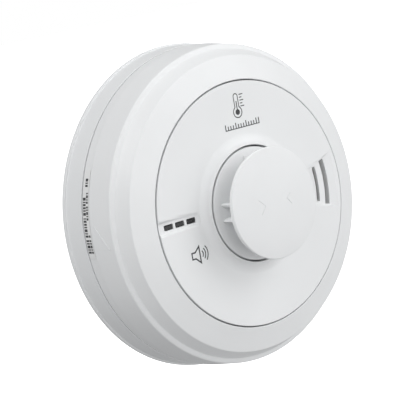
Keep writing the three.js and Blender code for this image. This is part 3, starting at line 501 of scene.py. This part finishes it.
def housing(looks):
    tongue = COVER_RADIUS - 2.6
    inside, floor = tongue - 1.8, HEAD_BACK + 1.8
    outline = (Outline(SEAM, HEAD_BACK).line(HOUSING_RADIUS - 0.35, HEAD_BACK)
               .quad(HOUSING_RADIUS, HEAD_BACK, HOUSING_RADIUS, HEAD_BACK + 0.35)
               .line(HOUSING_RADIUS, BAND_FRONT - 0.12)
               .quad(HOUSING_RADIUS, BAND_FRONT, HOUSING_RADIUS - 0.12, BAND_FRONT)
               .line(tongue, BAND_FRONT).line(tongue, TONGUE_FRONT - 0.2)
               .quad(tongue, TONGUE_FRONT, tongue - 0.2, TONGUE_FRONT)
               .line(inside, TONGUE_FRONT).line(inside, floor + 0.4)
               .quad(inside, floor, inside - 0.3, floor).line(SEAM, floor))
    ring = lathe("ring", outline)
    settle(combine("housing_shell", [ring, inner_part("rear_housing")]), "alarm_head", "housing_plastic",
           looks, ["rear_housing"])


def cover(looks):
    inner = COVER_RADIUS - 2.3
    ridge = COVER_RADIUS - COVER_DRAFT
    second = ridge - 2.3
    shoulder = second - 2.8
    well = BUTTON_RADIUS + 0.5
    collar = NOSE_COLLAR + FIT
    outline = (Outline(inner, COVER_BACK).line(COVER_RADIUS - 0.3, COVER_BACK)
               .quad(COVER_RADIUS, COVER_BACK, COVER_RADIUS, COVER_BACK + 0.3)
               .line(ridge, RIDGE - 0.6).quad(ridge, RIDGE + 0.1, ridge - 0.7, RIDGE + 0.3)
               .line(second + 0.4, RIDGE + 0.7)
               .quad(second, RIDGE + 0.8, second - 0.2, RIDGE + 1.3)
               .line(shoulder + 0.1, SHOULDER - 0.3)
               .quad(shoulder, SHOULDER, shoulder - 0.4, SHOULDER + 0.15)
               .line(well + 0.4, COVER_FRONT)
               .quad(well, COVER_FRONT, well, COVER_FRONT - 0.4)
               .line(well, SHELF + 0.4).quad(well, SHELF, well - 0.4, SHELF)
               .line(collar, SHELF).line(collar, SHELF_BACK).line(well + 1.8, SHELF_BACK)
               .line(well + 1.8, COVER_FRONT - 2.4).line(shoulder - 3, SHOULDER - 1.2)
               .line(second - 2.4, RIDGE).line(inner - 0.9, RIDGE - 2.4).line(inner, TONGUE_FRONT + FIT))
    shell = lathe("cover_shell", outline)
    back, front = SHELF_BACK - 1, SHELF + 1
    holes = [("window", rounded_rectangle(*WINDOW[:2], 0.2, x), 0) for x in LED_X]
    holes.append(("mouth", rounded_rectangle(*HORN_MOUTH), 0))
    holes += [("leg_hole", arc_band(*LEG_HOLE), angle) for angle in LEG_ANGLES]
    tools = [turned(loft(name, [at_depth(plan, z) for z in (back, front)]), angle)
             for name, plan, angle in holes]
    pusher = Outline(0, back).line(PUSHER_HOLE, back).line(PUSHER_HOLE, front).line(0, front)
    tools.append(lathe("pusher_hole", pusher, SMALL_STEPS, SWITCH_SPOT))
    boolean(shell, tools)
    settle(shell, "alarm_head", "housing_plastic", looks, ["front_cover"])


def channel_cutter():
    """Recess round the windows, with sloping sides, open at the button's edge."""
    start = -BUTTON_RADIUS - 3
    sections = []
    for z, grow in ((FACE - CHANNEL_DEPTH, 0.0), (FACE, CHANNEL_SLOPE), (LIP + 1, CHANNEL_SLOPE)):
        end = CHANNEL_END + grow / 2
        plan = rounded_rectangle(end - start, CHANNEL_WIDTH + grow, 1.0, (start + end) / 2)
        sections.append(at_depth(plan, z))
    return loft("channel", sections)


def horn_cutter():
    """Fan-shaped recess that is deepest at the slots and runs out towards the edge."""
    inner, deep_end, outer = HORN_FAN
    floor = FACE - HORN_DEPTH
    sections = []
    for x, z in ((inner, floor), (deep_end, floor), (outer, FACE + 0.05)):
        low = HORN_HALF + HORN_FLARE * (x - inner)
        high = low + 0.3
        sections.append([(x, -low, z), (x, low, z), (x, high, LIP + 1), (x, -high, LIP + 1)])
    return loft("horn", sections)


def button(looks):
    back = SHELF + 1.5
    outline = (Outline(BUTTON_RADIUS, back).line(BUTTON_RADIUS, COVER_FRONT - 3.4)
               .line(EDGE_RADIUS, COVER_FRONT - 3).line(EDGE_RADIUS, EDGE_RISE - 0.2)
               .quad(EDGE_RADIUS, EDGE_RISE, EDGE_RADIUS - EDGE_ROUND, EDGE_RISE)
               .quad(DOME_KNEE, FACE, DOME_START, FACE, 16)
               .line(BORE + 5.1, FACE).quad(BORE + 1.8, FACE + 0.3, BORE + 0.4, LIP - 0.1, 20)
               .quad(BORE + 0.3, LIP, BORE + 0.15, LIP).quad(BORE, LIP, BORE, LIP - 0.2)
               .line(BORE, back + 0.4).line(BORE + 1.5, back + 0.4).line(BORE + 1.5, FACE_BACK)
               .line(BUTTON_RADIUS - 1.5, FACE_BACK).line(BUTTON_RADIUS - 1.5, back))
    shell = lathe("button_shell", outline)
    rib = loft("rib", [at_depth(arc_band(*HORN_RIB), z) for z in (FACE_BACK - 1.4, FACE_BACK + 0.3)])
    boolean(shell, [rib], "UNION")
    boolean(shell, [channel_cutter(), horn_cutter()])
    floor = FACE - CHANNEL_DEPTH
    width, height, corner = WINDOW
    levels = ((FACE_BACK - 1, 0), (floor - 0.15, 0), (floor + 0.05, WINDOW_EASE), (LIP, WINDOW_EASE))
    tools = [loft("window", [at_depth(rounded_rectangle(width + g, height + g, corner, x), z)
                             for z, g in levels]) for x in LED_X]
    tools += [loft("slot", [at_depth(arc_band(*slot), z) for z in (FACE_BACK - 2, LIP)])
              for slot in HORN_SLOTS]
    boolean(shell, tools)
    core = node_copy("core", "test_button")
    keep = lathe("keep", Outline(BORE + 1.6, 0).line(BUTTON_RADIUS - 1.6, 0)
                 .line(BUTTON_RADIUS - 1.6, FACE_BACK).line(BORE + 1.6, FACE_BACK))
    boolean(core, [keep], "INTERSECT")
    settle(combine("button_cap", [shell, core]), "test_button", "button_plastic", looks, ["test_button"])


def cone_height(r):
    """Height of the nose's cone at a radius."""
    start = NOSE_RADIUS - 0.7
    return CONE_START + (CONE_TOP - 0.1 - CONE_START) * ((start - r) / (start - CONE_INNER))


def nose(looks):
    base = SHELF + FIT
    top = LIP + 4.6
    floor = top - 4.4
    edge = NOSE_RADIUS - 0.2
    inside = NOSE_RADIUS - 1.7
    outline = (Outline(NOSE_RADIUS, base).line(NOSE_RADIUS, LIP - 3).line(edge, LIP - 2.6)
               .line(edge, LIP - 0.4).quad(edge, CONE_START - 0.1, edge - 0.5, CONE_START)
               .line(CONE_INNER, top - 0.1).quad(12.1, top + 0.2, 11.7, top - 0.5)
               .line(11, floor + 0.8).quad(10.8, floor, 10, floor).line(2.4, floor).line(2.4, floor - 1.7)
               .line(11.6, floor - 1.7).line(13.8, top - 3.3).line(inside, CONE_START - 1.7)
               .line(inside, base + 1.7).line(NOSE_COLLAR - 1.6, base + 1.7)
               .line(NOSE_COLLAR - 1.6, SHELF - 4).line(NOSE_COLLAR, SHELF - 4).line(NOSE_COLLAR, base))
    shell = lathe("nose_shell", outline, NOSE_STEPS)
    pit = Outline(0, top - 5).line(PIT_RADIUS, top - 5).line(PIT_RADIUS, top).line(0, top)
    boolean(shell, [lathe("pit", pit, SMALL_STEPS, spot) for spot in PITS])
    settle(shell, "alarm_head", "housing_plastic", looks, ["sensor_housing"])


def fin():
    """Post under the cap with a pointed outer end that follows the cone."""
    end, root, half = CAP_RADIUS - 2.6, 13.2, 1.0
    narrow = half * 0.62
    plan = [(root, -half), (end - 1.7, -half), (end - 0.7, -narrow), (end, 0), (end - 0.7, narrow),
            (end - 1.7, half), (root, half)]
    low = [(x, y, cone_height(x) + 0.12) for x, y in plan]
    return loft("fin", [low, at_depth(plan, CROWN - 2.6)])


def cap_height(r):
    """Height of the cap's shallow dome at a radius."""
    for i in range(CURVE_SEARCH + 1):
        t = i / CURVE_SEARCH
        if 2 * t * (1 - t) * CAP_KNEE + t * t * CAP_ROUND >= r:
            return (1 - t * t) * CROWN + t * t * (CAP_EDGE + 0.1)
    return CAP_EDGE


def chevron(points):
    """A shallow groove along three points of the cap's dome."""
    a, b, c = [Vector(p) for p in points]
    half = GROOVE_WIDTH / 2
    first, second = (b - a).normalized(), (c - b).normalized()
    side1, side2 = Vector((-first.y, first.x)), Vector((-second.y, second.x))
    middle = (side1 + side2).normalized()
    middle = middle / max(0.3, middle.dot(side1))
    loop = [a + side1 * half, b + middle * half, c + side2 * half,
            c - side2 * half, b - middle * half, a - side1 * half]
    low = [(p.x, p.y, cap_height(p.length) - GROOVE_DEPTH) for p in loop]
    return loft("chevron", [low, [(p.x, p.y, CROWN + 1) for p in loop]])


def cap(looks):
    outline = (Outline(0, CROWN).quad(CAP_KNEE, CROWN, CAP_ROUND, CAP_EDGE + 0.1, 28)
               .quad(CAP_RADIUS, CAP_EDGE, CAP_RADIUS, CAP_EDGE - 0.5)
               .line(CAP_RADIUS - 0.1, CAP_BACK + 0.4)
               .quad(CAP_RADIUS - 0.2, CAP_BACK, CAP_RADIUS - 0.7, CAP_BACK)
               .line(CAP_RADIUS - 1.6, CAP_BACK).line(CAP_RADIUS - 2.0, CAP_BACK + 0.5).line(0, CROWN - 2.0))
    shell = lathe("shell", outline, NOSE_STEPS)
    boolean(shell, [chevron(points) for points in GROOVES])
    fins = [turned(fin(), quarter + side * FIN_SPREAD) for quarter in (0, 90, 180, 270) for side in (-1, 1)]
    settle(combine("cap_shell", [shell] + fins), "alarm_head", "housing_plastic", looks, ["sensor_cap"])


def light_guides(looks):
    """Smoked pillars that end just under the channel's floor, with an eased edge."""
    top = FACE - CHANNEL_DEPTH - 0.2
    w, h = WINDOW[0] - 2 * FIT, WINDOW[1] - 2 * FIT
    stem, flange, eased = (0, 0, 0.3), (0.7, 2, 0.3), (-0.3, -0.3, 0.25)  # wider by, higher by, corner
    for name, x in zip(("power", "alarm", "fault"), LED_X):
        _, back, _ = reach(f"light_guide_{name}")
        levels = ((back, stem), (SHELF_BACK - 1.9, stem), (SHELF_BACK - 1.85, flange),
                  (SHELF_BACK - FIT, flange), (SHELF_BACK - 0.25, stem), (top - 0.15, stem), (top, eased))
        sections = [at_depth(rounded_rectangle(w + dw, h + dh, corner, x), z)
                    for z, (dw, dh, corner) in levels]
        settle(loft(f"guide_{name}", sections), "alarm_head", "smoked_plastic", looks,
               [f"light_guide_{name}"])


def bead(looks):
    """Resin bead, drawn out a little where its leads enter."""
    r, back, front = reach("thermistor")
    middle = (back + front) / 2
    outline = Outline(0, front).quad(r, front, r, middle, 12).quad(r, back + 0.5, 0.5, back + 0.1, 12)
    outline.line(0, back)
    settle(lathe("bead", outline, SMALL_STEPS), "alarm_head", "bead_resin", looks, ["thermistor"])


def coil(name, looks):
    """Fine coil spring with closed ends."""
    low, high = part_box(name)
    centre = (low + high) / 2
    wire = 0.25
    radius = (high.x - low.x) / 2 / MM - wire
    back, front = -high.y / MM + wire, -low.y / MM - wire
    turns, per_turn, around = 4.5, 36, 10
    count = int(turns * per_turn)
    bm = bmesh.new()
    loops = []
    for i in range(count + 1):
        t = i / count
        rise = min(1.0, max(0.0, (t * turns - 0.5) / (turns - 1.0)))
        a = 2 * math.pi * turns * t
        loop = []
        for k in range(around):
            b = 2 * math.pi * k / around
            r = radius + wire * math.cos(b)
            x, y = centre.x / MM + r * math.cos(a), centre.z / MM + r * math.sin(a)
            loop.append(bm.verts.new(to_row(x, y, back + (front - back) * rise + wire * math.sin(b))))
        loops.append(loop)
    skin(bm, loops)
    piece = settle(as_object(f"{name}_coil", bm), "alarm_head", "plated_steel", looks, [name])
    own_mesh(piece)


# ------------------------------------------------------------------ printed and moulded marks
def face_height(r):
    """Height of the button's face at a radius, over its shallow dome."""
    if r <= DOME_START:
        return FACE
    for i in range(CURVE_SEARCH + 1):
        t = i / CURVE_SEARCH
        outer = t * t * (EDGE_RADIUS - EDGE_ROUND)
        if (1 - t) ** 2 * DOME_START + 2 * t * (1 - t) * DOME_KNEE + outer >= r:
            return (1 - t * t) * FACE + t * t * EDGE_RISE
    return EDGE_RISE


def ribbon(bm, points, width, lift, sink, place, closed=False):
    """A thin strip along a line; place(u, v, height) puts a flat point on the surface."""
    pts = [Vector(p) for p in points]
    count = len(pts)
    rows = []
    for i, p in enumerate(pts):
        before = pts[i - 1] if (i > 0 or closed) else p
        after = pts[(i + 1) % count] if (i < count - 1 or closed) else p
        first, second = (p - before), (after - p)
        first = first.normalized() if first.length > TINY else second.normalized()
        second = second.normalized() if second.length > TINY else first
        along = (first + second).normalized()
        side = Vector((-along.y, along.x))
        reach_out = width / 2 / max(0.35, side.dot(Vector((-first.y, first.x))))
        row = []
        for offset, height in ((1, lift), (-1, lift), (-1, -sink), (1, -sink)):
            q = p + side * reach_out * offset
            row.append(bm.verts.new(place(q.x, q.y, height)))
        rows.append(row)
    skin(bm, rows, closed)


def fine_line(points, closed=False):
    """The same line with more points on it, so that a strip follows a curved surface."""
    out = []
    ends = points + [points[0]] if closed else points
    for a, b in zip(ends, ends[1:]):
        a, b = Vector(a), Vector(b)
        n = max(1, int((b - a).length))
        out += [tuple(a.lerp(b, i / n)) for i in range(n)]
    return out if closed else out + [tuple(points[-1])]


def arc_points(cx, cy, r, start, end, steps):
    turns = [math.radians(start + (end - start) * i / steps) for i in range(steps + 1)]
    return [(cx + r * math.cos(a), cy + r * math.sin(a)) for a in turns]


def on_face(x, y, height):
    return to_row(x, y, face_height(math.hypot(x, y)) + height)


INK = {"lift": 0.02, "sink": 0.04}


def thermometer_mark(looks):
    """Outline of a thermometer with its degree marks, above a row of plain ticks."""
    bm = bmesh.new()
    cx, low, high, bulb, tube = 0.6, 39.6, 47.2, 2.35, 1.15
    opening = math.degrees(math.asin(tube / bulb))
    body = arc_points(cx, low - 0.3, bulb, 90 + opening, 450 - opening, 30)
    body += arc_points(cx, high - tube, tube, 0, 180, 14)
    ribbon(bm, fine_line(body, closed=True), 0.42, place=on_face, closed=True, **INK)
    ribbon(bm, fine_line([(cx, low + 0.8), (cx, high - 3.2)]), 0.5, place=on_face, **INK)
    ribbon(bm, arc_points(cx, low - 0.3, 0.62, 0, 350, 14), 1.2, place=on_face, closed=True, **INK)
    for i, reach_x in enumerate((2.2, 1.4, 2.2, 1.4, 2.2)):
        y = low + 1.9 + i * 1.25
        ribbon(bm, [(cx + tube + 0.9, y), (cx + tube + 0.9 + reach_x, y)], 0.4, place=on_face, **INK)
    for i in range(14):
        x = -7.6 + i * 1.47
        tall = 2.3 if i % 4 == 0 or i == 13 else 1.5
        ribbon(bm, [(x, 32.8), (x, 32.8 + tall)], 0.5, place=on_face, **INK)
    ribbon(bm, fine_line([(-7.85, 32.6), (11.76, 32.6)]), 0.4, place=on_face, **INK)
    settle(as_object("mark_thermometer", bm), "test_button", "button_plastic", looks, look="ink")


def speaker_mark(looks):
    """A loudspeaker with three sound arcs."""
    bm = bmesh.new()
    x, y = -34.6, -14.6
    cone = [(x - 3.0, y - 1.3), (x - 1.2, y - 1.3), (x + 1.3, y - 3.5), (x + 1.3, y + 3.5),
            (x - 1.2, y + 1.3), (x - 3.0, y + 1.3)]
    ribbon(bm, cone, 0.62, place=on_face, closed=True, **INK)
    for r in (1.9, 3.2, 4.5):
        ribbon(bm, arc_points(x + 1.2, y, r, -42, 42, 12), 0.5, place=on_face, **INK)
    settle(as_object("mark_speaker", bm), "test_button", "button_plastic", looks, look="ink")


def on_wall(radius_at):
    """Places marks by distance round the wall from the -X or +X axis and by depth."""
    def place(side):
        def at(arc, depth, height):
            radius = radius_at(depth) + height
            angle = math.pi * (side < 0) - side * arc / radius_at(depth)
            return to_row(radius * math.cos(angle), radius * math.sin(angle), depth)
        return at
    return place


def wall_radius(depth):
    """Radius of the cover's wall at a depth."""
    share = (depth - COVER_BACK) / (RIDGE - COVER_BACK)
    return COVER_RADIUS - COVER_DRAFT * share


def corner_marks(looks):
    """Faint moulded mark on each side: a slanting line and three short ticks."""
    bm = bmesh.new()
    slant, tick = (0.5, 0.2), (0.3, 0.08)  # width and height
    strokes = (((4.9, 19.4), (-4.5, 26.8), slant), ((-4.3, 21.6), (-4.3, 25.6), tick),
               ((1.5, 21.8), (1.5, 23.6), tick), ((-1.2, 23.0), (-1.2, 25.0), tick))
    for side in (-1, 1):
        place = on_wall(wall_radius)(side)
        for start, end, (width, lift) in strokes:
            line = [(side * arc, depth) for arc, depth in (start, end)]
            ribbon(bm, fine_line(line), width, lift, 0.1, place)
    settle(as_object("mark_slide", bm), "alarm_head", "housing_plastic", looks)


def band_label(looks):
    """Blank label bonded to the band, with rows of plain dashes where a label has its print."""
    _, back, front = reach("date_label")
    lift, thick, steps = 0.04, 0.12, 48
    start, end = math.radians(156), math.radians(187)
    inner, outer = HOUSING_RADIUS + lift, HOUSING_RADIUS + lift + thick
    corners = ((inner, back), (outer, back), (outer, front), (inner, front))
    bm = bmesh.new()
    angles = [start + (end - start) * i / steps for i in range(steps + 1)]
    skin(bm, [[bm.verts.new(to_row(r * math.cos(a), r * math.sin(a), z)) for r, z in corners]
              for a in angles])
    settle(as_object("label_strip", bm), "alarm_head", "label_paper", looks, ["date_label"])
    bm = bmesh.new()
    place = on_wall(lambda depth: outer)(-1)
    lengths, gap, wide_gap = (0.9, 0.5, 1.2, 0.6, 0.8), 0.45, 1.1
    rows = ((back + 1.15, -6.0, 17.2, 1.8), (back + 2.9, -6.0, 2.0, 1.15), (back + 2.9, 8.1, 19.4, 1.15),
            (back + 2.2, 22.0, 24.8, 1.6))
    for depth, arc, last, width in rows:
        index = 0
        while arc < last:
            length = lengths[index % len(lengths)]
            ribbon(bm, [(-arc, depth), (-arc - length, depth)], width, 0.02, 0.02, place)
            arc += length + (wide_gap if index % 7 == 4 else gap)
            index += 1
    settle(as_object("label_dashes", bm), "alarm_head", "label_paper", looks, look="ink")


# ------------------------------------------------------------------ everything together
def carried_over(looks):
    """Materials for the CAD nodes that are shown as they are."""
    slots = {part["node"]: part["material_slot"] for part in frame["record"]["subparts"]}
    for name, obj in frame["nodes"].items():
        obj.data.materials.clear()
        obj.data.materials.append(looks[slots[name]])


def make_floor():
    bm = bmesh.new()
    corners = ((-1, -1), (1, -1), (1, 1), (-1, 1))
    bm.faces.new([bm.verts.new((x * FLOOR_REACH, y * FLOOR_REACH, FLOOR_HEIGHT)) for x, y in corners])
    floor = as_object("floor", bm)
    material, tree, shader = shader_tree("floor")
    tree.links.new(blend_colours(tree, noise(tree, 3.0), (0.97, 0.97, 0.97), (1, 1, 1)),
                   shader.inputs["Base Color"])
    shader.inputs["Emission Color"].default_value = (1, 1, 1, 1)
    shader.inputs["Emission Strength"].default_value = 1.0
    floor.data.materials.append(material)
    floor.visible_diffuse = False
    floor.visible_glossy = False
    floor.visible_shadow = False


bpy.context.scene.view_settings.view_transform = "Standard"
make_camera()
make_world()
for light in LIGHTS:
    soft_light(*light)
looks = make_looks()
carried_over(looks)
make_floor()
plate(looks)
housing(looks)
cover(looks)
button(looks)
nose(looks)
cap(looks)
light_guides(looks)
bead(looks)
for number in (1, 2, 3):
    coil(f"button_spring_{number}", looks)
thermometer_mark(looks)
speaker_mark(looks)
corner_marks(looks)
band_label(looks)
